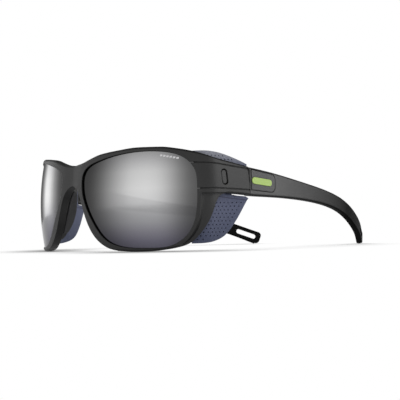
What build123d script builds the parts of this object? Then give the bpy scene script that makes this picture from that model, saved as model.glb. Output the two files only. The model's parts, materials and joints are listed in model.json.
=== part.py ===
from build123d import *
import math
import os

# Glacier glasses: a wrap-around moulded front with two mirrored lenses, two folding temples and
# two removable side shields. Millimetres. +X is the wearer's left, +Y runs back along the temples
# and +Z is up. The open glasses stand on their lower rims and temple tips.
# Everything is modelled on the +X side, and the other side is its mirror image.
# "Reach" is the distance along the front's outer surface from the middle of the bridge, and
# "depth" is the distance from that surface towards the wearer.

# ---- Front in plan: bridge, lens arc, corner bend and straight side ----
wrap_radius = 68.35
wrap_centre_x = 9.77
bridge_dip_angle = 6.0
corner_angle = 50.0
corner_radius = 15.0
side_angle = 86.0
crown_radius = 120.0
mid_height = 22.0
reach_step = 3.0

# ---- Front walls ----
wall = 3.9
edge_radius = 0.9
skirt_depth = 2.3
skirt_reach = (61.0, 84.0)
skirt_top = 25.1
skirt_rim = 1.35
groove_width = 0.5
groove_depth = 0.45
split_y = 50.8
split_gap = 0.16
end_reach = 98.5

# Heights along the front as (reach, height).
rim_top = [(0, 40.0), (6, 40.6), (12, 42.0), (20, 43.9), (30.3, 45.0), (41, 45.8), (52.8, 45.6), (60, 44.7),
           (66, 43.6), (71, 42.4), (76, 41.1), (81.2, 39.9), (86.8, 38.85), (92.3, 37.8), (98.5, 36.5)]
rim_bottom = [(0, -2.5), (22, -2.5), (26, 0.6), (30.3, 0.4), (39, 0.0), (47, 0.1), (56, 1.0), (61, 1.9),
              (64.2, 2.9), (67.8, 5.0), (69.8, 7.2), (72.9, 9.9), (75.8, 14.0), (78.1, 18.3), (80.0, 21.8),
              (81.6, 24.4), (85, 24.7), (91, 24.4), (98.5, 23.8)]
panel_top = [(65.8, 38.4), (76, 38.0), (85.7, 37.0), (98.5, 35.5)]
panel_bottom = [(67.5, 26.9), (76, 27.1), (85.7, 26.8), (98.5, 26.3)]

# Nose arch as (x, z) from its middle to the lower rim.
nose_arch = [(0, 30.4), (4.2, 28.6), (7.2, 24.8), (9.2, 20.3), (12.2, 13.6), (16.5, 7.2), (22, 2.9),
             (29, 0.6)]

# ---- Lens: outlines as (x, z) on the surface, seen from the front ----
lens_shift = (0.35, 0.6)
lens_radius = 68.15
lens_thickness = 2.0
lens_clearance = 0.05
lens_axis_angle = 22.0
opening = [(8.5, 30.5), (10.6, 37.4), (18.0, 40.5), (29.0, 42.8), (40.0, 43.9), (49.8, 43.4), (57.1, 40.6),
           (60.7, 35.6), (61.8, 28.0), (61.6, 18.0), (59.1, 8.6), (53.2, 2.8), (43.0, 1.5), (32.0, 2.2),
           (24.0, 5.2), (17.5, 12.0), (12.3, 20.0), (9.4, 26.0)]
lens_margin = 0.95
rear_opening_margin = -0.9

# ---- Hinge: two front knuckles around one temple knuckle, on a steel screw and a brass nut ----
hinge_x = 62.0
knuckle_radius = 2.2
pocket_radius = 2.35
knuckle_levels = (26.4, 29.2, 32.4, 35.2)
knuckle_gap = 0.1
web_inner_x = 60.4
web_length = 4.3
screw_radius = 0.75
screw_bore_radius = 0.80
screw_head_radius = 1.45
screw_head_height = 0.9
screw_end_gap = 0.2
screw_head_sink = 0.1
pocket_end_gap = 0.3
screw_slot_width = 0.4
screw_slot_depth = 0.35
nut_radius = 1.4
nut_height = 1.7

# ---- Shield: a thin sheet inside the front's wall, held by a clip through the slot ----
shield_gap = 0.06
shield_thickness = 1.2
shield_reach = (66.0, 104.0)
shield_front_y = 23.0
shield_low = [(shield_front_y, 3.2), (31.0, 3.4), (36.0, 4.4), (39.8, 6.2), (43.2, 9.9), (46.3, 15.0),
              (49.85, 22.0)]
shield_high = [(53.6, 38.1), (50.6, 39.4), (46.3, 40.9), (42.0, 42.2), (38.5, 43.0), (33.9, 43.6), (28, 43.7),
               (shield_front_y, 43.5)]
notch_y = 43.0
notch_radius = 2.0
notch_low = [(50.35, 22.6), (49.2, 23.5), (notch_y, 24.2)]
notch_high = [(notch_y, 37.4), (53.4, 37.4)]
flap_start = 82.5
flap_top = 24.25
flap_lean = 0.0177
slot_centre = (37.0, 32.0)
slot_size = (7.0, 3.3)
slot_tilt = 93.0
lug_clearance = 0.45
lug_recess = 0.3
clip_reach = (79.0, 87.5)
clip_heights = (26.5, 37.0)
clip_thickness = 1.0
clip_gap = 0.12
clip_corner = 0.45

# ---- Nose pads: soft pads on a flange behind the rim ----
pad_splay = 18.0
pad_front = [(5.6, 8.6), (4.9, 14.0), (4.7, 20.0), (4.9, 28.4)]
pad_rear = [(7.9, 27.4), (9.9, 23.0), (10.6, 19.0), (10.3, 14.0), (8.9, 9.2)]
flange_front = [(5.1, 5.0), (4.4, 9.0), (3.8, 14.0), (3.7, 20.0), (4.0, 28.6)]
flange_rear = [(7.2, 27.0), (9.2, 23.0), (9.9, 19.0), (9.7, 14.0), (9.4, 9.5), (8.2, 6.0)]
pad_thickness = 1.5
flange_thickness = 1.7
peg_centre = (7.4, 18.4)
peg_radius = 1.0
peg_head_radius = 1.7
peg_head_thickness = 0.9
peg_clearance = 0.05

# ---- Temple: outer face's middle (x, y, z), height, thickness and heading there ----
temple_stations = [
    (66.85, 50.96, 30.15, 12.7, 4.6, 90.0),
    (67.0, 64.0, 28.95, 11.3, 4.3, 90.5),
    (66.7, 77.0, 27.5, 9.6, 4.0, 92.0),
    (66.1, 90.2, 25.7, 8.2, 3.8, 94.5),
    (65.0, 103.2, 23.5, 7.4, 3.6, 97.5),
    (62.7, 116.0, 20.5, 7.2, 3.5, 104.0),
    (58.8, 128.2, 16.4, 7.4, 3.4, 112.0),
    (53.5, 139.6, 11.8, 7.5, 3.3, 118.0),
    (47.0, 150.4, 7.2, 7.6, 3.2, 123.0),
    (38.6, 162.6, 1.93, 7.6, 3.2, 125.5),
]
temple_corner = 1.1
tip_place = (40.3, 160.1, 3.0)
tip_heading = 125.0
tip_pitch = 20.0
tip_height = 7.2
tip_radius = 2.4
cord_slot = (12.6, 2.7)
cord_slot_end_wall = 2.6

# ---- Badge plate and emblem on the temple's outer face, and the grip on its inner face ----
badge_corners = [(51.7, 35.3), (66.3, 33.1), (66.3, 25.4), (51.7, 26.5)]
badge_corner_radius = 2.4
badge_depth = 0.8
badge_proud = 0.12
badge_gap = 0.32
badge_outer_x = 66.95
badge_seat_gap = 0.05
emblem_centre = (57.9, 30.1)
emblem_length = 12.2
emblem_width = 2.9
emblem_angle = -6.0
emblem_gap = 0.03
emblem_depth = 0.5
emblem_proud = 0.3
grip_start_y = 106.0
grip_gap = 0.02
grip_end_y = 140.0
grip_height = 3.4
grip_depth = 0.9
grip_proud = 0.4


def unit(angle):
    """Direction in plan for a heading, in degrees from +X towards +Y."""
    return Vector(math.cos(math.radians(angle)), math.sin(math.radians(angle)))


def inward(angle):
    """Direction in plan from the outer surface towards the wearer, for a heading."""
    return unit(angle + 90)


def crown(z):
    """How far the outer surface lies behind its mid-height line at height z."""
    return crown_radius - math.sqrt(crown_radius**2 - (z - mid_height) ** 2)


def plan(reach):
    """Point and heading of the front's outer surface at mid height."""
    if reach < 0:
        point, heading = plan(-reach)
        return Vector(-point.X, point.Y), -heading
    centre = Vector(wrap_centre_x, wrap_radius)
    bridge_radius = wrap_centre_x / math.sin(math.radians(bridge_dip_angle)) - wrap_radius
    bridge_reach = bridge_radius * math.radians(bridge_dip_angle)
    if reach < bridge_reach:
        heading = -math.degrees(reach / bridge_radius)
        bridge_centre = centre - inward(-bridge_dip_angle) * (wrap_radius + bridge_radius)
        return bridge_centre + inward(heading) * bridge_radius, heading
    reach -= bridge_reach
    arc_reach = wrap_radius * math.radians(corner_angle + bridge_dip_angle)
    if reach < arc_reach:
        heading = math.degrees(reach / wrap_radius) - bridge_dip_angle
        return centre - inward(heading) * wrap_radius, heading
    reach -= arc_reach
    bend_centre = centre - inward(corner_angle) * (wrap_radius - corner_radius)
    bend_reach = corner_radius * math.radians(side_angle - corner_angle)
    if reach < bend_reach:
        heading = math.degrees(reach / corner_radius) + corner_angle
        return bend_centre - inward(heading) * corner_radius, heading
    bend_end = bend_centre - inward(side_angle) * corner_radius
    return bend_end + unit(side_angle) * (reach - bend_reach), side_angle


def height_at(table, reach):
    """Height from a (reach, height) table, passing smoothly through its rows without overshoot."""
    reach = min(max(abs(reach), table[0][0]), table[-1][0])
    slopes = [(b[1] - a[1]) / (b[0] - a[0]) for a, b in zip(table, table[1:])]
    tangents = [slopes[0]]
    for a, b in zip(slopes, slopes[1:]):
        tangents.append(2 * a * b / (a + b) if a * b > 0 else 0.0)
    tangents.append(slopes[-1])
    i = 0
    while reach > table[i + 1][0]:
        i += 1
    span = table[i + 1][0] - table[i][0]
    t = (reach - table[i][0]) / span
    return (table[i][1] * (1 + 2 * t) * (1 - t) ** 2 + table[i + 1][1] * (3 - 2 * t) * t**2
            + span * (tangents[i] * t * (1 - t) ** 2 - tangents[i + 1] * (1 - t) * t**2))


def level(height):
    """A height that is the same at every reach."""
    return lambda reach: height


def along(table, shift=0.0):
    """A height that follows a table."""
    return lambda reach: height_at(table, reach) + shift


def band(start, end, depths, low, high, radius=0.0, lean=level(0.0)):
    """Wrapped wall between two reaches, two depths and two heights, lofted through upright sections."""
    outer, inner = depths
    count = max(2, math.ceil((end - start) / reach_step))
    sections = []
    for i in range(count + 1):
        reach = start + (end - start) * i / count
        point, heading = plan(reach)
        bottom = low(reach)
        top = high(reach)

        def at(depth, z, shift=0.0):
            return (depth - lean(reach) + crown(z) + shift, z)

        middle = (bottom + top) / 2
        outer_side = ThreePointArc(at(outer, bottom + radius), at(outer, middle), at(outer, top - radius))
        inner_side = ThreePointArc(at(inner, top - radius), at(inner, middle), at(inner, bottom + radius))
        if radius:
            bevel = radius * (1 - math.sqrt(0.5))
            outer_top = (at(outer, top - radius), at(outer, top - bevel, bevel), at(outer, top, radius))
            inner_top = (at(inner, top, -radius), at(inner, top - bevel, -bevel), at(inner, top - radius))
            inner_low = (at(inner, bottom + radius), at(inner, bottom + bevel, -bevel),
                         at(inner, bottom, -radius))
            outer_low = (at(outer, bottom, radius), at(outer, bottom + bevel, bevel),
                         at(outer, bottom + radius))
            top_side = [ThreePointArc(*outer_top), Line(outer_top[2], inner_top[0])]
            top_side.append(ThreePointArc(*inner_top))
            low_side = [ThreePointArc(*inner_low), Line(inner_low[2], outer_low[0])]
            low_side.append(ThreePointArc(*outer_low))
        else:
            top_side = [Line(at(outer, top), at(inner, top))]
            low_side = [Line(at(inner, bottom), at(outer, bottom))]
        curves = [outer_side] + top_side + [inner_side] + low_side
        where = Plane(origin=(point.X, point.Y, 0), x_dir=inward(heading), z_dir=unit(heading))
        sections.append(where * make_face(Curve() + curves))
    return loft(sections)


def front_prism(profile, low, high):
    """Extrudes an (x, z) face along Y between two values."""
    return extrude(Plane(origin=(0, low, 0), x_dir=(1, 0, 0), z_dir=(0, -1, 0)) * profile, low - high)


def side_prism(profile, low, high):
    """Extrudes a (y, z) face along X between two values."""
    return extrude(Plane(origin=(low, 0, 0), x_dir=(0, 1, 0), z_dir=(1, 0, 0)) * profile, high - low)


def cylinder(x, y, radius, low, high):
    """Upright cylinder between two heights."""
    return Pos(x, y, (low + high) / 2) * Cylinder(radius, high - low)


def block(x_range, y_range, z_range):
    """Box between two corners."""
    size = [high - low for low, high in (x_range, y_range, z_range)]
    middle = [(high + low) / 2 for low, high in (x_range, y_range, z_range)]
    return Pos(*middle) * Box(*size)


def mirrored(part):
    """The same part on the other side of the glasses."""
    return mirror(part, about=Plane.YZ)


def lens_outline(margin):
    """Lens outline, grown by a margin, as a face square to the lens's own axis."""
    points = []
    for x, z in opening:
        y = wrap_radius - math.sqrt(wrap_radius**2 - (x - wrap_centre_x) ** 2) + crown(z)
        points.append((Vector(x, y).dot(unit(lens_axis_angle)), z))
    outline = Spline(points, periodic=True)
    if not margin:
        return make_face(outline)
    count = 40
    grown = []
    for i in range(count):
        tangent = outline % (i / count)
        grown.append(outline @ (i / count) + Vector(-tangent.Y, tangent.X) * margin)
    return make_face(Spline(grown, periodic=True))


def lens_prism(margin):
    """The outline extruded along the lens's axis, right through the front."""
    reach = 15.0
    outward = inward(lens_axis_angle) * -1
    where = Plane(origin=outward * -reach, x_dir=unit(lens_axis_angle), z_dir=outward)
    return extrude(where * lens_outline(margin), 2 * reach, dir=outward)


def lens_shell(outer_radius, inner_radius):
    """Shell of revolution that the lens is cut from."""
    low, high = (-6.0, 50.0)

    def arc(radius):
        points = [(radius - crown(z), z) for z in (low, mid_height, high)]
        return ThreePointArc(*points)

    outer = arc(outer_radius)
    inner = arc(inner_radius)
    face = make_face(Curve() + [outer, Line(outer @ 1, inner @ 1), inner, Line(inner @ 0, outer @ 0)])
    centre = (wrap_centre_x + lens_shift[0], wrap_radius + lens_shift[1], 0)
    where = Plane(origin=centre, x_dir=(0, 1, 0), z_dir=(1, 0, 0))
    return revolve(where * face, Axis(centre, (0, 0, 1)), 360)


def build_lens():
    """Curved lens with its edge square to the lens's axis."""
    shell = lens_shell(lens_radius, lens_radius - lens_thickness)
    return shell & lens_prism(lens_margin)


def nose_shell(near, far):
    """Wall that runs back from the nose arch and splays outwards, between two distances from it."""
    arch = [(x, z) for x, z in nose_arch if x > 3]
    near_edge = Spline([(x + near, z) for x, z in arch])
    far_edge = Spline([(x + far, z) for x, z in reversed(arch)])
    ends = [Line(near_edge @ 1, far_edge @ 0), Line(far_edge @ 1, near_edge @ 0)]
    face = make_face(Curve() + [near_edge, far_edge] + ends)
    splay = math.radians(pad_splay)
    start = 2.0
    where = Plane(origin=(-start * math.tan(splay), start, 0), x_dir=(1, 0, 0), z_dir=(0, -1, 0))
    return extrude(where * face, 12.0, dir=(math.sin(splay), math.cos(splay), 0))


def nose_outline(front, rear):
    """Side view of the pad or its flange, as a (y, z) face."""
    edges = [Spline(front), Line(front[-1], rear[0]), Spline(rear), Line(rear[-1], front[0])]
    return make_face(Curve() + edges)


def peg_disc(radius):
    """Side view of the pad's peg."""
    return Location((*peg_centre, 0)) * Circle(radius)


def nose_part(near, far, profile):
    """Piece of the nose wall inside a side view."""
    return nose_shell(near, far) & side_prism(profile, 0, 30)


def build_nose_pad():
    """Soft pad with a snap peg through the flange."""
    rear_face = pad_thickness + flange_thickness + peg_clearance
    pad = nose_part(0.0, pad_thickness, nose_outline(pad_front, pad_rear))
    pad += nose_part(pad_thickness - 0.2, rear_face + 0.1, peg_disc(peg_radius))
    return pad + nose_part(rear_face, rear_face + peg_head_thickness, peg_disc(peg_head_radius))


def pad_flange():
    """Thin wall behind the rim that carries the pad."""
    outline = nose_outline(flange_front, flange_rear)
    flange = nose_part(pad_thickness, pad_thickness + flange_thickness, outline)
    return flange - side_prism(peg_disc(peg_radius + peg_clearance), 0, 30)


def knuckle_web(z_range, y_range):
    """Block that ties a knuckle to the wall outside it."""
    return block((web_inner_x, 64.0), y_range, z_range)


def build_half_front():
    """Rim, end piece and hinge knuckles of the wearer's left side, up to the plane of symmetry."""
    body = band(-end_reach, end_reach, (0.0, wall), along(rim_bottom), along(rim_top), edge_radius)
    body = body & block((0, 90), (-10, split_y), (-10, 60))

    # Lens aperture, open at the front down to the lens, and the pocket around the lens's edge.
    body -= lens_prism(rear_opening_margin)
    body -= lens_shell(lens_radius + 6.0, lens_radius - 0.3) & lens_prism(0.0)
    pocket = lens_shell(lens_radius + lens_clearance, lens_radius - lens_thickness - lens_clearance)
    body -= pocket & lens_prism(lens_margin + lens_clearance)

    # Nose arch.
    corners = [nose_arch[-1], (29, -9), (0, -9), nose_arch[0]]
    body -= front_prism(make_face(Curve() + [Spline(nose_arch), Polyline(corners)]), -10, 20)

    # The skirt below the end piece lies deeper than the panel.
    start, end = skirt_reach
    body -= band(start, end, (-3.0, skirt_depth), level(-4.0), level(skirt_top)) - lens_prism(skirt_rim)

    # Slot for the shield's lug, and fine grooves that frame the panel.
    body -= side_prism(slot_face(0.0), 55, 75)
    for table in (panel_top, panel_bottom):
        body -= band(table[0][0], end_reach, (-0.5, groove_depth), along(table, -groove_width / 2),
                     along(table, groove_width / 2))
    body += pad_flange()

    # Hinge: the middle level is left free for the temple's knuckle.
    bottom, low_split, high_split, top = knuckle_levels
    for z_range in ((bottom, low_split - knuckle_gap), (high_split + knuckle_gap, top)):
        body += knuckle_web(z_range, (split_y - web_length, split_y))
        body += cylinder(hinge_x, split_y, knuckle_radius, *z_range)
    body -= cylinder(hinge_x, split_y, pocket_radius, low_split - knuckle_gap, high_split + knuckle_gap)
    body -= cylinder(hinge_x, split_y, screw_bore_radius, bottom - 1, top + 1)
    body -= cylinder(hinge_x, split_y, screw_head_radius + lens_clearance, top - screw_head_height, top + 1)
    return body - cylinder(hinge_x, split_y, nut_radius + lens_clearance, bottom - 1, bottom + nut_height)


def build_front():
    """Rims, bridge, end pieces and hinge knuckles in one moulding."""
    half = build_half_front()
    return half + mirrored(half)


def slot_face(inset):
    """Slot in the end piece, or the lug inside it, as a (y, z) face."""
    length, width = slot_size
    return Location((*slot_centre, 0), (0, 0, slot_tilt)) * SlotOverall(length - 2 * inset, width - 2 * inset)


def build_screw():
    """Hinge screw with a slotted head."""
    bottom, top = knuckle_levels[0], knuckle_levels[3]
    head_base = top - screw_head_height
    screw = cylinder(hinge_x, split_y, screw_radius, bottom + screw_end_gap, head_base)
    screw += cylinder(hinge_x, split_y, screw_head_radius, head_base, top - screw_head_sink)
    slot = block((hinge_x - 2, hinge_x + 2), (split_y - screw_slot_width / 2, split_y + screw_slot_width / 2),
                 (top - screw_head_sink - screw_slot_depth, top + 1))
    return screw - slot


def build_nut():
    """Brass nut in the lower knuckle."""
    bottom = knuckle_levels[0]
    nut = cylinder(hinge_x, split_y, nut_radius, bottom, bottom + nut_height)
    return nut - cylinder(hinge_x, split_y, screw_bore_radius, bottom - 1, bottom + nut_height + 1)


def flap_outward(reach):
    """How far the shield's lower flap leans outwards."""
    return flap_lean * (reach - flap_start) ** 2


def shield_outline():
    """Side view of the shield as a (y, z) face: two flaps with a notch around the hinge between them."""
    edge = [Spline(shield_low), Polyline([shield_low[-1]] + notch_low + notch_high + [shield_high[0]])]
    edge += [Spline(shield_high), Line(shield_high[-1], shield_low[0])]
    face = make_face(Curve() + edge)
    return fillet([v for v in face.vertices() if abs(v.X - notch_y) < 0.01], notch_radius)


def build_shield():
    """Side shield: a sheet inside the front's wall, with a lower flap that leans out behind the rim."""
    depths = (wall + shield_gap, wall + shield_gap + shield_thickness)
    start, end = shield_reach
    low, high = (-4.0, 48.0)
    sheet = band(start, flap_start, depths, level(low), level(high))
    sheet += band(flap_start, end, depths, level(flap_top), level(high))
    sheet += band(flap_start, end, depths, level(low), level(flap_top), lean=flap_outward)
    sheet = sheet & side_prism(shield_outline(), 50, 75)
    return sheet - side_prism(slot_face(lug_clearance / 2), 50, 75)


def build_clip():
    """Rigid clip inside the shield, with the lug that snaps into the end piece's slot."""
    seat = wall + shield_gap + shield_thickness
    start, end = clip_reach
    low, high = clip_heights
    clip = band(start, end, (seat + clip_gap, seat + clip_thickness), level(low), level(high))
    corners = clip.edges().filter_by(lambda e: e.length < clip_thickness)
    clip = fillet(corners, clip_corner) if len(corners) == 4 else clip
    outer_limit = band(start, end, (lug_recess, seat + clip_thickness / 2), level(20.0), level(44.0))
    return clip + (side_prism(slot_face(lug_clearance), 50, 75) & outer_limit)


def temple_section(station):
    """Upright rounded section of the temple, with its outer face on the station's point."""
    x, y, z, height, thickness, heading = station
    where = Plane(origin=(x, y, z), x_dir=inward(heading), z_dir=unit(heading))
    return where * (Location((thickness / 2, 0, 0)) * RectangleRounded(thickness, height, temple_corner))


def tip_plane():
    """Side-view plane of the temple's end: x runs along the temple, y runs up."""
    pitch = math.radians(tip_pitch)
    forward = unit(tip_heading)
    along_tip = Vector(forward.X * math.cos(pitch), forward.Y * math.cos(pitch), -math.sin(pitch))
    return Plane(origin=tip_place, x_dir=along_tip, z_dir=inward(tip_heading) * -1)


def build_temple():
    """Temple with its middle knuckle, badge recess, grip recess and cord slot."""
    temple = loft([temple_section(station) for station in temple_stations])

    # Rounded end with the cord slot.
    where = tip_plane()
    length, width = cord_slot
    rounded = Location((-20, 0, 0)) * RectangleRounded(40, tip_height, tip_radius)
    waste = (Location((5.5, 0, 0)) * Rectangle(16, 30)) - rounded
    temple -= extrude(where * waste, 15, both=True)
    slot = Location((-cord_slot_end_wall - length / 2, 0, 0)) * SlotOverall(length, width)
    temple -= extrude(where * slot, 15, both=True)

    # Knuckle between the front's two.
    bottom, low_split, high_split, top = knuckle_levels
    start = split_y + split_gap
    for z_range in ((bottom - pocket_end_gap, low_split), (high_split, top + pocket_end_gap)):
        temple -= cylinder(hinge_x, split_y, pocket_radius, *z_range)
    temple += knuckle_web((low_split, high_split), (start, start + web_length))
    temple += cylinder(hinge_x, split_y, knuckle_radius, low_split, high_split)
    temple -= cylinder(hinge_x, split_y, screw_bore_radius, bottom, top)

    temple -= badge_prism(badge_gap, badge_depth)
    return temple - grip_solid(grip_gap)


def badge_prism(margin, depth):
    """Rounded plate on the temple's outer face."""
    face = make_face(Polyline(badge_corners + badge_corners[:1]))
    rear = [v for v in face.vertices() if v.X > 60]
    face = offset(fillet(rear, badge_corner_radius), margin) if margin else fillet(rear, badge_corner_radius)
    return side_prism(face, badge_outer_x - depth, badge_outer_x + 2)


def build_badge():
    """Thin plate with a recess for the emblem."""
    face_x = badge_outer_x + badge_proud
    plate = badge_prism(0.0, badge_depth - badge_seat_gap) & block((50, face_x), (0, 100), (0, 50))
    return plate - side_prism(emblem_face(emblem_gap), face_x - emblem_depth, face_x + 1)


def emblem_face(margin):
    """A plain bar with round ends, as a (y, z) face."""
    bar = SlotOverall(emblem_length + 2 * margin, emblem_width + 2 * margin)
    return Location((*emblem_centre, 0), (0, 0, emblem_angle)) * bar


def build_emblem():
    """Coloured inlay of the badge."""
    face_x = badge_outer_x + badge_proud
    return side_prism(emblem_face(0.0), face_x - emblem_depth + emblem_gap, face_x + emblem_proud)


def grip_solid(margin):
    """Strip that follows the temple's inner face."""
    rows = [row for row in temple_stations if grip_start_y - 4 < row[1] < grip_end_y + 2]
    sections = []
    for x, y, z, height, thickness, heading in rows:
        where = Plane(origin=(x, y, z), x_dir=inward(heading), z_dir=unit(heading))
        low, high = thickness - grip_depth + grip_proud - margin, thickness + grip_proud + margin
        centre = Location(((low + high) / 2, 0, 0))
        sections.append(where * (centre * RectangleRounded(high - low, grip_height + 2 * margin, 0.3)))
    return loft(sections)


def save(part, name):
    """Writes the solids of one node."""
    export_step(Compound(part.solids()), f"parts/{name}.step")


def save_pair(part, name):
    """Writes a part for the wearer's left side and its mirror image for the right."""
    save(part, f"{name}_left")
    save(mirrored(part), f"{name}_right")


if __name__ == "__main__":
    os.makedirs("parts", exist_ok=True)
    save(build_front(), "front_frame")
    save_pair(build_lens(), "lens")
    save_pair(build_nose_pad(), "nose_pad")
    save_pair(build_screw(), "hinge_screw")
    save_pair(build_nut(), "hinge_nut")
    save_pair(build_shield(), "side_shield")
    save_pair(build_clip(), "shield_clip")
    save_pair(build_temple(), "temple")
    save_pair(build_badge(), "temple_plate")
    save_pair(build_emblem(), "temple_emblem")
    save_pair(grip_solid(0.0), "temple_grip")
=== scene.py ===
import bpy
import bmesh
import json
import math
from mathutils import Matrix, Vector
from mathutils.bvhtree import BVHTree


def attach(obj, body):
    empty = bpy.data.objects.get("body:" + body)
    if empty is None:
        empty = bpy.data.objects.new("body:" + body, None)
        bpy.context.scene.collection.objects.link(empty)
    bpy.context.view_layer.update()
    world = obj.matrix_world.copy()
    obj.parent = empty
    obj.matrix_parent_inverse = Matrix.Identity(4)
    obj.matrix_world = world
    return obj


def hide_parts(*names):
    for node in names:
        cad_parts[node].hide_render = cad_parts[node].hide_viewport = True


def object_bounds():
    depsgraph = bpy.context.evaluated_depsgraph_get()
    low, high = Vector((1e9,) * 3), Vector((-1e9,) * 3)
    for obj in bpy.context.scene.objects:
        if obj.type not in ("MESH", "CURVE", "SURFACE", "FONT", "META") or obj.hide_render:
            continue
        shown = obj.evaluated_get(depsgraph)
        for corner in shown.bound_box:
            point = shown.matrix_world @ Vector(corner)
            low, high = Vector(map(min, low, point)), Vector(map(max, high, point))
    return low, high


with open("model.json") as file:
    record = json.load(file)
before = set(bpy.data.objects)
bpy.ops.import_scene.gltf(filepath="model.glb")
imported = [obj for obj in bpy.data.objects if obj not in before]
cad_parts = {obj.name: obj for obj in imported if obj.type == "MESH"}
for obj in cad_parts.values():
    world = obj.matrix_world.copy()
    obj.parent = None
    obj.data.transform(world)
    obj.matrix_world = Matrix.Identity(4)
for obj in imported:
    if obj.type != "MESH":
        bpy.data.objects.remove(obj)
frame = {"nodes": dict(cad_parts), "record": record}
cad_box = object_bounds()

# Glacier glasses: the front, lenses, temples and hinges are the CAD solids with procedural
# finishes, which include painted shade, sheen and reflection. The perforated side shields, the nose
# pads, the temple grips and the small print on the lens are built here. Metres, +X is the wearer's
# left, -Y is the front, +Z is up.
# Lengths written as plain numbers below are millimetres, and MM turns them into metres.

MM = 0.001
SIDES = (("left", 1.0), ("right", -1.0))


# ---------------------------------------------------------------- node helpers
def new_material(name):
    """Empty node material with a Principled shader. Returns (material, node tree, shader)."""
    mat = bpy.data.materials.new(name)
    mat.use_nodes = True
    tree = mat.node_tree
    return mat, tree, tree.nodes["Principled BSDF"]


def connect(tree, value, socket):
    """Links a socket, or sets a plain value."""
    if isinstance(value, bpy.types.NodeSocket):
        tree.links.new(value, socket)
    else:
        socket.default_value = value


def add(tree, kind, inputs=None, **settings):
    """Adds a node, sets its attributes, and sets or links its inputs."""
    node = tree.nodes.new(kind)
    for key, value in settings.items():
        setattr(node, key, value)
    for key, value in (inputs or {}).items():
        connect(tree, value, node.inputs[key])
    return node


def ramp(tree, fac, stops, interpolation="LINEAR"):
    """Colour ramp from (position, colour or grey) stops."""
    node = add(tree, "ShaderNodeValToRGB", {"Fac": fac})
    node.color_ramp.interpolation = interpolation
    elements = node.color_ramp.elements
    for i, (position, shade) in enumerate(stops):
        element = elements[i] if i < 2 else elements.new(position)
        element.position = position
        rgb = shade if isinstance(shade, tuple) else (shade, shade, shade)
        element.color = (*rgb, 1.0)
    return node.outputs["Color"]


def maths(tree, operation, a, b=0.0):
    """One scalar operation."""
    return add(tree, "ShaderNodeMath", {0: a, 1: b}, operation=operation).outputs[0]


def times(tree, a, b):
    """Product of two values."""
    return maths(tree, "MULTIPLY", a, b)


def one_minus(tree, value):
    """What is left of one."""
    return maths(tree, "SUBTRACT", 1.0, value)


def span(tree, value, low, high):
    """Maps low..high to 0..1, clamped."""
    inputs = {"Value": value, "From Min": low, "From Max": high}
    return add(tree, "ShaderNodeMapRange", inputs).outputs["Result"]


def mix(tree, fac, a, b, blend="MIX"):
    """Colour mix."""
    a, b = (value if isinstance(value, bpy.types.NodeSocket) else (*value, 1.0) for value in (a, b))
    node = add(tree, "ShaderNodeMix", data_type="RGBA", blend_type=blend)
    for index, value in ((0, fac), (6, a), (7, b)):
        connect(tree, value, node.inputs[index])
    return node.outputs[2]


def scaled(colour, factor):
    """Lighter or darker version of a colour."""
    return tuple(channel * factor for channel in colour)


def place(tree):
    """Position in the row frame, in millimetres."""
    inputs = {0: add(tree, "ShaderNodeTexCoord").outputs["Object"], "Scale": 1.0 / MM}
    return add(tree, "ShaderNodeVectorMath", inputs, operation="SCALE").outputs["Vector"]


def axes(tree, vector):
    """X, Y and Z sockets of a vector."""
    parts = add(tree, "ShaderNodeSeparateXYZ", {0: vector}).outputs
    return parts["X"], parts["Y"], parts["Z"]


def noise(tree, vector, scale, detail):
    """Noise value around one half."""
    inputs = {"Vector": vector, "Scale": scale, "Detail": detail}
    return add(tree, "ShaderNodeTexNoise", inputs).outputs["Fac"]


def rough_grain(tree, shader, grain, amount, least):
    """Roughness that rises from least by amount with the grain."""
    rough = maths(tree, "ADD", times(tree, grain, amount), least)
    tree.links.new(rough, shader.inputs["Roughness"])


def bump(tree, shader, height, distance, edge=0.0):
    """Links a bump, and the softening of sharp edges, both in millimetres."""
    inputs = {"Height": height, "Distance": distance * MM}
    if edge:
        soft = add(tree, "ShaderNodeBevel", {"Radius": edge * MM}, samples=6)
        inputs["Normal"] = soft.outputs["Normal"]
    node = add(tree, "ShaderNodeBump", inputs)
    tree.links.new(node.outputs["Normal"], shader.inputs["Normal"])


# ---------------------------------------------------------------- materials
EDGE_SOFTNESS = 0.5
# Colour that the painted shade on the plastics sinks to.
PAINTED_SHADE_BLACK = (0.004, 0.004, 0.004)
FULL_SPECULAR = 0.5


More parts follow.
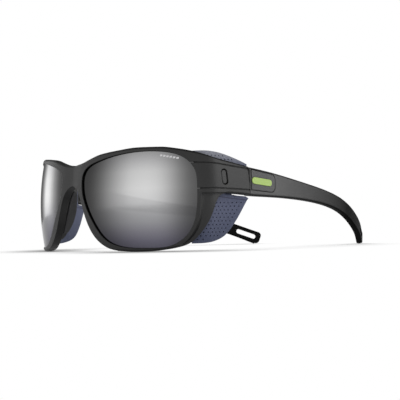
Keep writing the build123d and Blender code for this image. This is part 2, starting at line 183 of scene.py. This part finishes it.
def satin_plastic(name, colour, roughness, painted_edge_shade, painted_fade=None):
    """Moulded plastic: fine spark-eroded grain and slight unevenness.

    Painted shade: faces that look up or down are darkened towards black by the share given in the
    fourth argument. The last argument, when given, is (axis, start, end, amount) and paints a
    fall-off of light: the colour sinks towards black by that amount from start to end."""
    mat, tree, shader = new_material(name)
    where = place(tree)
    fine = noise(tree, where, 9.0, 4.0)
    broad = noise(tree, where, 0.12, 2.0)
    base = mix(tree, broad, scaled(colour, 0.82), scaled(colour, 1.12))
    # Painted shade: faces that look up or down sink towards black and lose specular.
    normal = add(tree, "ShaderNodeNewGeometry").outputs["Normal"]
    facing_up = maths(tree, "ABSOLUTE", axes(tree, normal)[2])
    painted_light_level = one_minus(tree, times(tree, span(tree, facing_up, 0.15, 0.5), painted_edge_shade))
    # Painted fall-off of light along one axis.
    if painted_fade:
        axis, start, end, amount = painted_fade
        along = axes(tree, where)["xyz".index(axis)]
        painted_fade_depth = times(tree, span(tree, along, start, end), amount)
        painted_light_level = times(tree, painted_light_level, one_minus(tree, painted_fade_depth))
    tree.links.new(mix(tree, painted_light_level, PAINTED_SHADE_BLACK, base), shader.inputs["Base Color"])
    tree.links.new(times(tree, painted_light_level, FULL_SPECULAR), shader.inputs["Specular IOR Level"])
    grain_depth = 0.14
    rough_grain(tree, shader, fine, grain_depth, roughness - grain_depth / 2)
    bump(tree, shader, fine, 0.02, EDGE_SOFTNESS)
    return mat


def on_right_lens(tree, x):
    """One on the right lens and zero on the left one."""
    return span(tree, x, 4.0, -4.0)


def painted_reflection_across(tree, x):
    """Painted reflection: brightness of each lens from the nose side to the temple side, standing in
    for the studio reflected in the mirror.
    """
    across = span(tree, maths(tree, "ABSOLUTE", x), 6.0, 64.0)
    left_stops = [(0.0, 0.03), (0.10, 0.045), (0.22, 0.10), (0.36, 0.27), (0.50, 0.52), (0.60, 0.60),
                  (0.72, 0.64), (0.80, 0.50), (0.88, 0.22), (0.95, 0.12), (1.0, 0.09)]
    right_stops = [(0.0, 0.04), (0.12, 0.09), (0.20, 0.50), (0.28, 0.72), (0.36, 0.50), (0.47, 0.15),
                   (0.62, 0.14), (0.8, 0.10), (1.0, 0.08)]
    left = ramp(tree, across, left_stops, "B_SPLINE")
    right = ramp(tree, across, right_stops, "B_SPLINE")
    return mix(tree, on_right_lens(tree, x), left, right)


def tint_and_painted_reflection_up(tree, x, z):
    """Painted reflection from bottom to top, brightest a little above the middle, with the coating's
    own violet tint low down; the foot of the right lens is darker and more violet still.
    """
    stops = [(0.0, (0.16, 0.155, 0.20)), (0.10, (0.26, 0.25, 0.32)), (0.19, (0.42, 0.41, 0.47)),
             (0.28, (0.62, 0.62, 0.65)), (0.42, (0.86, 0.86, 0.87)), (0.60, (1.0, 1.0, 1.0)),
             (0.76, (0.90, 0.90, 0.90)), (0.90, (0.62, 0.62, 0.63)), (1.0, (0.42, 0.42, 0.42))]
    tint = ramp(tree, span(tree, z, 0.0, 46.0), stops)
    right_foot_tint_and_painted_reflection = times(tree, on_right_lens(tree, x), span(tree, z, 24.0, 2.0))
    return mix(tree, right_foot_tint_and_painted_reflection, tint, (0.10, 0.095, 0.17))


def painted_horizon_reflection(tree, x, z):
    """Strength of a faint tilted band on the left lens, a painted reflection of a horizon."""
    slope = times(tree, maths(tree, "SUBTRACT", x, 30.0), 0.22)
    above = span(tree, maths(tree, "ADD", z, slope), 25.6, 26.4)
    below = span(tree, maths(tree, "ADD", z, times(tree, slope, 0.6)), 18.6, 19.6)
    inside_band = times(tree, below, one_minus(tree, above))
    return times(tree, times(tree, inside_band, span(tree, x, 26.0, 34.0)), 0.22)


def mirror_lens():
    """Silver flash mirror: its brightness, highest in the middle, is a painted reflection of the
    studio; violet at the bottom.
    """
    mat, tree, shader = new_material("lens_mirror")
    where = place(tree)
    x, _, z = axes(tree, where)
    # Painted reflection of the studio, times the coating's violet tint.
    mirror_and_painted_reflection = mix(tree, 1.0, painted_reflection_across(tree, x), tint_and_painted_reflection_up(tree, x, z), "MULTIPLY")
    dimmed = mix(tree, 1.0, mirror_and_painted_reflection, (0.45, 0.45, 0.46), "MULTIPLY")
    mirror_and_painted_reflection = mix(tree, painted_horizon_reflection(tree, x, z), mirror_and_painted_reflection, dimmed)
    tree.links.new(mirror_and_painted_reflection, shader.inputs["Base Color"])
    shader.inputs["Metallic"].default_value = 1.0
    rough_grain(tree, shader, noise(tree, where, 0.25, 2.0), 0.05, 0.09)
    shader.inputs["Coat Weight"].default_value = 0.25
    shader.inputs["Coat Roughness"].default_value = 0.04
    return mat


def shield_sheet():
    """Blue-grey flexible sheet with a fine leathery grain, darker low down, and paler at the top from
    painted light.
    """
    mat, tree, shader = new_material("shield_sheet")
    where = place(tree)
    _, y, z = axes(tree, where)
    fine = noise(tree, where, 4.0, 4.0)
    broad = noise(tree, where, 0.2, 2.0)
    base = mix(tree, broad, (0.085, 0.098, 0.165), (0.115, 0.130, 0.210))
    base = mix(tree, times(tree, fine, 0.25), base, (0.16, 0.175, 0.25))
    low = times(tree, span(tree, z, 18.0, 3.0), 0.75)
    base = mix(tree, low, base, (0.040, 0.050, 0.095))
    # Painted light: the top of the sheet is paler.
    high = times(tree, span(tree, z, 37.0, 42.0), 0.9)
    base = mix(tree, high, base, (0.32, 0.33, 0.38))
    # Painted shade of a fold line below the plain hem along the lower flap's top edge. It is hem_z
    # high where y is hem_y, and sinks by hem_fall per millimetre towards the rear.
    hem_y, hem_z, hem_fall = 43.0, 22.7, 0.13
    level = maths(tree, "ADD", z, times(tree, maths(tree, "SUBTRACT", y, hem_y), hem_fall))
    distance = maths(tree, "ABSOLUTE", maths(tree, "SUBTRACT", level, hem_z))
    painted_fold_shade = times(tree, span(tree, distance, 0.28, 0.12), 0.6)
    base = mix(tree, painted_fold_shade, base, (0.02, 0.02, 0.045))
    tree.links.new(base, shader.inputs["Base Color"])
    shader.inputs["Roughness"].default_value = 0.62
    shader.inputs["Specular IOR Level"].default_value = 0.35
    shader.inputs["Sheen Weight"].default_value = 0.12
    bump(tree, shader, fine, 0.05)
    return mat


def rubber():
    """Matte black elastomer with a dusty bloom."""
    mat, tree, shader = new_material("pad_rubber")
    where = place(tree)
    fine = noise(tree, where, 6.0, 4.0)
    bloom = noise(tree, where, 0.5, 3.0)
    base = mix(tree, bloom, (0.010, 0.010, 0.011), (0.026, 0.026, 0.028))
    tree.links.new(base, shader.inputs["Base Color"])
    rough_grain(tree, shader, fine, 0.2, 0.6)
    bump(tree, shader, fine, 0.03)
    return mat


def metal(name, colour, roughness):
    """Machined metal with a fine uneven grain."""
    mat, tree, shader = new_material(name)
    grain = noise(tree, place(tree), 3.0, 2.0)
    tree.links.new(mix(tree, grain, scaled(colour, 0.8), colour), shader.inputs["Base Color"])
    shader.inputs["Metallic"].default_value = 1.0
    rough_grain(tree, shader, grain, 0.15, roughness)
    bump(tree, shader, grain, 0.01)
    return mat


def inlay(name, colour):
    """Glossy printed inlay with a slightly orange-peeled coat."""
    mat, tree, shader = new_material(name)
    peel = noise(tree, place(tree), 2.0, 2.0)
    tree.links.new(mix(tree, peel, scaled(colour, 0.88), colour), shader.inputs["Base Color"])
    shader.inputs["Roughness"].default_value = 0.35
    shader.inputs["Coat Weight"].default_value = 0.3
    bump(tree, shader, peel, 0.01)
    return mat


# Painted shade: the frame gets darker towards its bottom. The temple's grey, lighter than the frame,
# is a painted sheen that fades to near black towards the tip.
FRAME_PAINTED_SHADE = ("z", 22.0, -4.0, 0.3)
TEMPLE_PAINTED_SHEEN = ("y", 66.0, 124.0, 0.95)
MATERIALS = {
    "frame_plastic": satin_plastic("frame_plastic", (0.020, 0.020, 0.020), 0.38, 0.6, FRAME_PAINTED_SHADE),
    "temple_plastic": satin_plastic("temple_plastic", (0.095, 0.095, 0.095), 0.42, 0.88, TEMPLE_PAINTED_SHEEN),
    "plate_plastic": satin_plastic("plate_plastic", (0.085, 0.085, 0.085), 0.42, 0.8),
    "clip_plastic": satin_plastic("clip_plastic", (0.030, 0.030, 0.030), 0.40, 0.6),
    "lens_mirror": mirror_lens(),
    "shield_sheet": shield_sheet(),
    "pad_rubber": rubber(),
    "screw_steel": metal("screw_steel", (0.55, 0.55, 0.56), 0.25),
    "nut_brass": metal("nut_brass", (0.70, 0.50, 0.22), 0.28),
    "emblem_plastic": inlay("emblem_plastic", (0.46, 0.68, 0.12)),
    "print_white": inlay("print_white", (0.85, 0.85, 0.86)),
}


def paint(obj, name):
    """Gives an object one material."""
    obj.data.materials.clear()
    obj.data.materials.append(MATERIALS[name])


for entry in frame["record"]["subparts"]:
    paint(frame["nodes"][entry["node"]], entry["material_slot"])


# ---------------------------------------------------------------- pieces made from the frame
def link_object(name, data):
    """New object in the scene."""
    obj = bpy.data.objects.new(name, data)
    bpy.context.scene.collection.objects.link(obj)
    return obj


def mesh_object(name, shape):
    """New object from a bmesh, which is freed."""
    data = bpy.data.meshes.new(name)
    shape.to_mesh(data)
    shape.free()
    return link_object(name, data)


def own_copy(node, name):
    """New mesh object with the same shape as a CAD node."""
    return link_object(name, frame["nodes"][node].data.copy())


def finish_piece(obj, node, slot_name, body):
    """Paints a piece, puts it on its body and lets it stand for its CAD node."""
    paint(obj, slot_name)
    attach(obj, body)
    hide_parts(node)


def apply_modifiers(obj):
    """Replaces an object's mesh by what its modifiers make of it."""
    graph = bpy.context.evaluated_depsgraph_get()
    mesh = bpy.data.meshes.new_from_object(obj.evaluated_get(graph))
    obj.modifiers.clear()
    obj.data = mesh


def soft_piece(node, name, body, voxel):
    """Rounded rubber version of a CAD node: remeshed finely and relaxed."""
    obj = own_copy(node, name)
    remesh = obj.modifiers.new("remesh", "REMESH")
    remesh.mode = "VOXEL"
    remesh.voxel_size = voxel * MM
    smooth = obj.modifiers.new("smooth", "SMOOTH")
    smooth.factor = 0.5
    smooth.iterations = 6
    apply_modifiers(obj)
    for polygon in obj.data.polygons:
        polygon.use_smooth = True
    finish_piece(obj, node, "pad_rubber", body)


def surface_finder(node):
    """Ray tester on a CAD node."""
    data = frame["nodes"][node].data
    corners = [v.co for v in data.vertices]
    return BVHTree.FromPolygons(corners, [tuple(p.vertices) for p in data.polygons])


# ---------------------------------------------------------------- perforated side shields
HOLE_PITCH = 2.0
HOLE_ROW = 1.6
HOLE_COLUMNS = 14
HOLE_ROWS = 27
FIRST_HOLE = (26.3, 3.2)
HOLE_RADIUS = 0.32
HOLE_DEPTH = 0.85
ROD_SIDES = 12
ROD_PROUD = 1.5
OUTSIDE_X = 80.0
# Lower and upper perforated fields, as (y, z) corners.
HOLE_FIELDS = (
    [(27.0, 22.0), (42.0, 22.0), (48.6, 21.2), (45.2, 15.2),
     (42.1, 10.6), (38.8, 7.2), (35.6, 5.4), (27.0, 4.5)],
    [(27.0, 42.6), (34.0, 42.5), (38.5, 42.0), (42.2, 41.2),
     (46.4, 40.0), (49.6, 38.9), (46.0, 38.4), (27.0, 38.4)],
)


def inside(point, corners):
    """True when a point lies inside a polygon."""
    y, z = point
    hit = False
    for (y0, z0), (y1, z1) in zip(corners, corners[1:] + corners[:1]):
        if (z0 > z) != (z1 > z) and y < y0 + (y1 - y0) * (z - z0) / (z1 - z0):
            hit = not hit
    return hit


def hole_centres():
    """Staggered grid of hole centres inside the perforated fields."""
    centres = []
    for row in range(HOLE_ROWS):
        shift = HOLE_PITCH / 2 if row % 2 else 0.0
        for column in range(HOLE_COLUMNS):
            point = (FIRST_HOLE[0] + shift + column * HOLE_PITCH, FIRST_HOLE[1] + row * HOLE_ROW)
            if any(inside(point, field) for field in HOLE_FIELDS):
                centres.append(point)
    return centres


def add_rod(shape, start_x, end_x, y, z):
    """Closed rod along X in a bmesh. The x values are metres, y and z are millimetres."""
    rings = []
    for x in (start_x, end_x):
        ring = []
        for i in range(ROD_SIDES):
            turn = 2 * math.pi * i / ROD_SIDES
            rim_y = y + HOLE_RADIUS * math.cos(turn)
            rim_z = z + HOLE_RADIUS * math.sin(turn)
            ring.append(shape.verts.new((x, rim_y * MM, rim_z * MM)))
        rings.append(ring)
    inner, outer = rings
    for i in range(ROD_SIDES):
        j = (i + 1) % ROD_SIDES
        shape.faces.new((inner[i], inner[j], outer[j], outer[i]))
    shape.faces.new(list(reversed(inner)))
    shape.faces.new(outer)


def hole_cutter(name, sheet, sign):
    """Small rods along X that reach from outside most of the way through the sheet."""
    shape = bmesh.new()
    for y, z in hole_centres():
        start = Vector((sign * OUTSIDE_X, y, z)) * MM
        hit, _, _, _ = sheet.ray_cast(start, Vector((-sign, 0, 0)))
        if hit is not None:
            add_rod(shape, hit.x - sign * HOLE_DEPTH * MM, hit.x + sign * ROD_PROUD * MM, y, z)
    bmesh.ops.recalc_face_normals(shape, faces=shape.faces)
    return mesh_object(name, shape)


def build_shield(side, sign):
    """Side shield with its perforations cut as small blind holes."""
    node = f"side_shield_{side}"
    obj = own_copy(node, f"shield_sheet_{side}")
    cutter = hole_cutter(f"holes_{side}", surface_finder(node), sign)
    cut = obj.modifiers.new("holes", "BOOLEAN")
    cut.operation = "DIFFERENCE"
    cut.solver = "EXACT"
    cut.object = cutter
    apply_modifiers(obj)
    bpy.data.objects.remove(cutter)
    finish_piece(obj, node, "shield_sheet", f"shield_{side}")


for side, sign in SIDES:
    build_shield(side, sign)
    soft_piece(f"nose_pad_{side}", f"soft_nose_pad_{side}", "front", 0.3)
    soft_piece(f"temple_grip_{side}", f"soft_grip_{side}", f"temple_{side}", 0.28)


# ---------------------------------------------------------------- small print on the lens
PRINT_START = (48.6, 41.7)
PRINT_SLOPE = -0.24
PRINT_PITCH = 1.16
DASH_COUNT = 6
DASH_LENGTH = 0.82
DASH_HALF_HEIGHT = 0.4
PRINT_LIFT = 0.02
PRINT_THICKNESS = 0.03
IN_FRONT_Y = -50.0


def build_lens_print():
    """Row of plain white dashes near the left lens's upper outer corner."""
    lens = surface_finder("lens_left")
    shape = bmesh.new()
    for i in range(DASH_COUNT):
        start = PRINT_START[0] + i * PRINT_PITCH
        middle = PRINT_START[1] + PRINT_SLOPE * i * PRINT_PITCH
        end = start + DASH_LENGTH
        low, high = middle - DASH_HALF_HEIGHT, middle + DASH_HALF_HEIGHT
        corners = []
        for x, z in ((start, low), (end, low), (end, high), (start, high)):
            eye = Vector((x, IN_FRONT_Y, z)) * MM
            hit, normal, _, _ = lens.ray_cast(eye, Vector((0, 1, 0)))
            if normal.y > 0:
                normal = -normal
            corners.append(shape.verts.new(hit + normal * PRINT_LIFT * MM))
        shape.faces.new(corners)
    obj = mesh_object("lens_print", shape)
    solid = obj.modifiers.new("thickness", "SOLIDIFY")
    solid.thickness = PRINT_THICKNESS * MM
    solid.offset = 0.0
    paint(obj, "print_white")
    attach(obj, "front")


build_lens_print()


# ---------------------------------------------------------------- stage, light and camera
FLOOR_SIZE = 8000.0
FLOOR_GAP = 0.1
CONTACT_DISTANCE = 32.0
WORLD_STRENGTH = 2.0
# Place in millimetres, angles in degrees (azimuth from the front, elevation, roll).
CAMERA_PLACE = (357.31, -227.58, 8.98)
CAMERA_ANGLES = (49.405, -1.898, -1.15)
CAMERA_LENS = 81.5


def camera_sees(tree, output, seen, reflected):
    """Shows one shader to the camera and another one to every other ray."""
    camera_ray = add(tree, "ShaderNodeLightPath").outputs["Is Camera Ray"]
    both = add(tree, "ShaderNodeMixShader", {0: camera_ray, 1: reflected, 2: seen})
    tree.links.new(both.outputs[0], output.inputs["Surface"])


def build_floor():
    """Large pale floor: to the camera it glows white with soft contact shadows painted from ambient
    occlusion; duller in reflections.
    """
    height = cad_box[0][2] - FLOOR_GAP * MM
    bpy.ops.mesh.primitive_plane_add(size=FLOOR_SIZE * MM, location=(0, 0, height))
    floor = bpy.context.object
    floor.name = "floor"
    mat, tree, shader = new_material("floor_white")
    shader.inputs["Base Color"].default_value = (0.80, 0.80, 0.81, 1)
    shader.inputs["Roughness"].default_value = 0.9
    shader.inputs["Emission Color"].default_value = (1, 1, 1, 1)
    shader.inputs["Emission Strength"].default_value = 0.28
    # Painted shadow: to the camera the floor glows with a shade taken from ambient occlusion.
    inputs = {"Distance": CONTACT_DISTANCE * MM}
    occlusion_for_painted_shadow = add(tree, "ShaderNodeAmbientOcclusion", inputs, samples=16).outputs["AO"]
    stops = [(0.0, 0.03), (0.3, 0.12), (0.55, 0.33), (0.78, 0.70), (0.92, 0.95), (0.98, 1.0)]
    shade = ramp(tree, occlusion_for_painted_shadow, stops, "B_SPLINE")
    seen = add(tree, "ShaderNodeEmission", {"Color": shade, "Strength": 1.0})
    camera_sees(tree, tree.nodes["Material Output"], seen.outputs[0], shader.outputs[0])
    floor.data.materials.append(mat)


def build_world():
    """Studio surround: soft front light, bright left side, dark rear, dim top, white to the camera."""
    world = bpy.data.worlds.new("studio")
    bpy.context.scene.world = world
    world.use_nodes = True
    tree = world.node_tree
    tree.nodes.clear()
    x, y, up = axes(tree, add(tree, "ShaderNodeTexCoord").outputs["Generated"])
    around = span(tree, maths(tree, "ARCTAN2", y, x), -math.pi, math.pi)
    # Plan angle from -180 degrees through the front (-90), the camera (-45) and the left side (0).
    stops = [(-180, 0.80), (-172, 0.62), (-162, 0.34), (-145, 0.30), (-120, 0.48), (-100, 0.56),
             (-82, 0.54), (-60, 0.45), (-45, 0.38), (-20, 0.34), (5, 0.28), (20, 0.34), (36, 1.25),
             (55, 1.25), (68, 0.42), (90, 0.10), (120, 0.08), (145, 0.08), (160, 0.07),
             (168, 0.13), (174, 0.40), (180, 0.80)]
    ring = ramp(tree, around, [((angle + 180) / 360, value) for angle, value in stops])
    height_stops = [(0.0, 0.75), (0.17, 1.0), (0.42, 0.95), (0.7, 0.55), (1.0, 0.40)]
    height = ramp(tree, span(tree, up, -0.2, 1.0), height_stops)
    light = mix(tree, 1.0, ring, height, "MULTIPLY")
    soft = add(tree, "ShaderNodeBackground", {"Color": light, "Strength": WORLD_STRENGTH})
    white = add(tree, "ShaderNodeBackground", {"Color": (1, 1, 1, 1), "Strength": 1.0})
    output = add(tree, "ShaderNodeOutputWorld")
    camera_sees(tree, output, white.outputs[0], soft.outputs[0])


def build_camera():
    """Camera close to the table, at the front left quarter of the glasses."""
    azimuth, elevation, roll = (math.radians(angle) for angle in CAMERA_ANGLES)
    level = math.cos(elevation)
    forward = Vector((-math.sin(azimuth) * level, math.cos(azimuth) * level, -math.sin(elevation)))
    right = Vector((math.cos(azimuth), math.sin(azimuth), 0))
    up = right.cross(forward)
    turned_right = right * math.cos(roll) + up * math.sin(roll)
    turned_up = -right * math.sin(roll) + up * math.cos(roll)
    data = bpy.data.cameras.new("camera")
    data.sensor_width = 36.0
    data.lens = CAMERA_LENS
    data.clip_start = 10.0 * MM
    camera = link_object("camera", data)
    turn = Matrix((turned_right, turned_up, -forward)).transposed().to_4x4()
    camera.matrix_world = Matrix.Translation(Vector(CAMERA_PLACE) * MM) @ turn
    bpy.context.scene.camera = camera


build_floor()
build_world()
build_camera()
bpy.context.scene.view_settings.view_transform = "Standard"
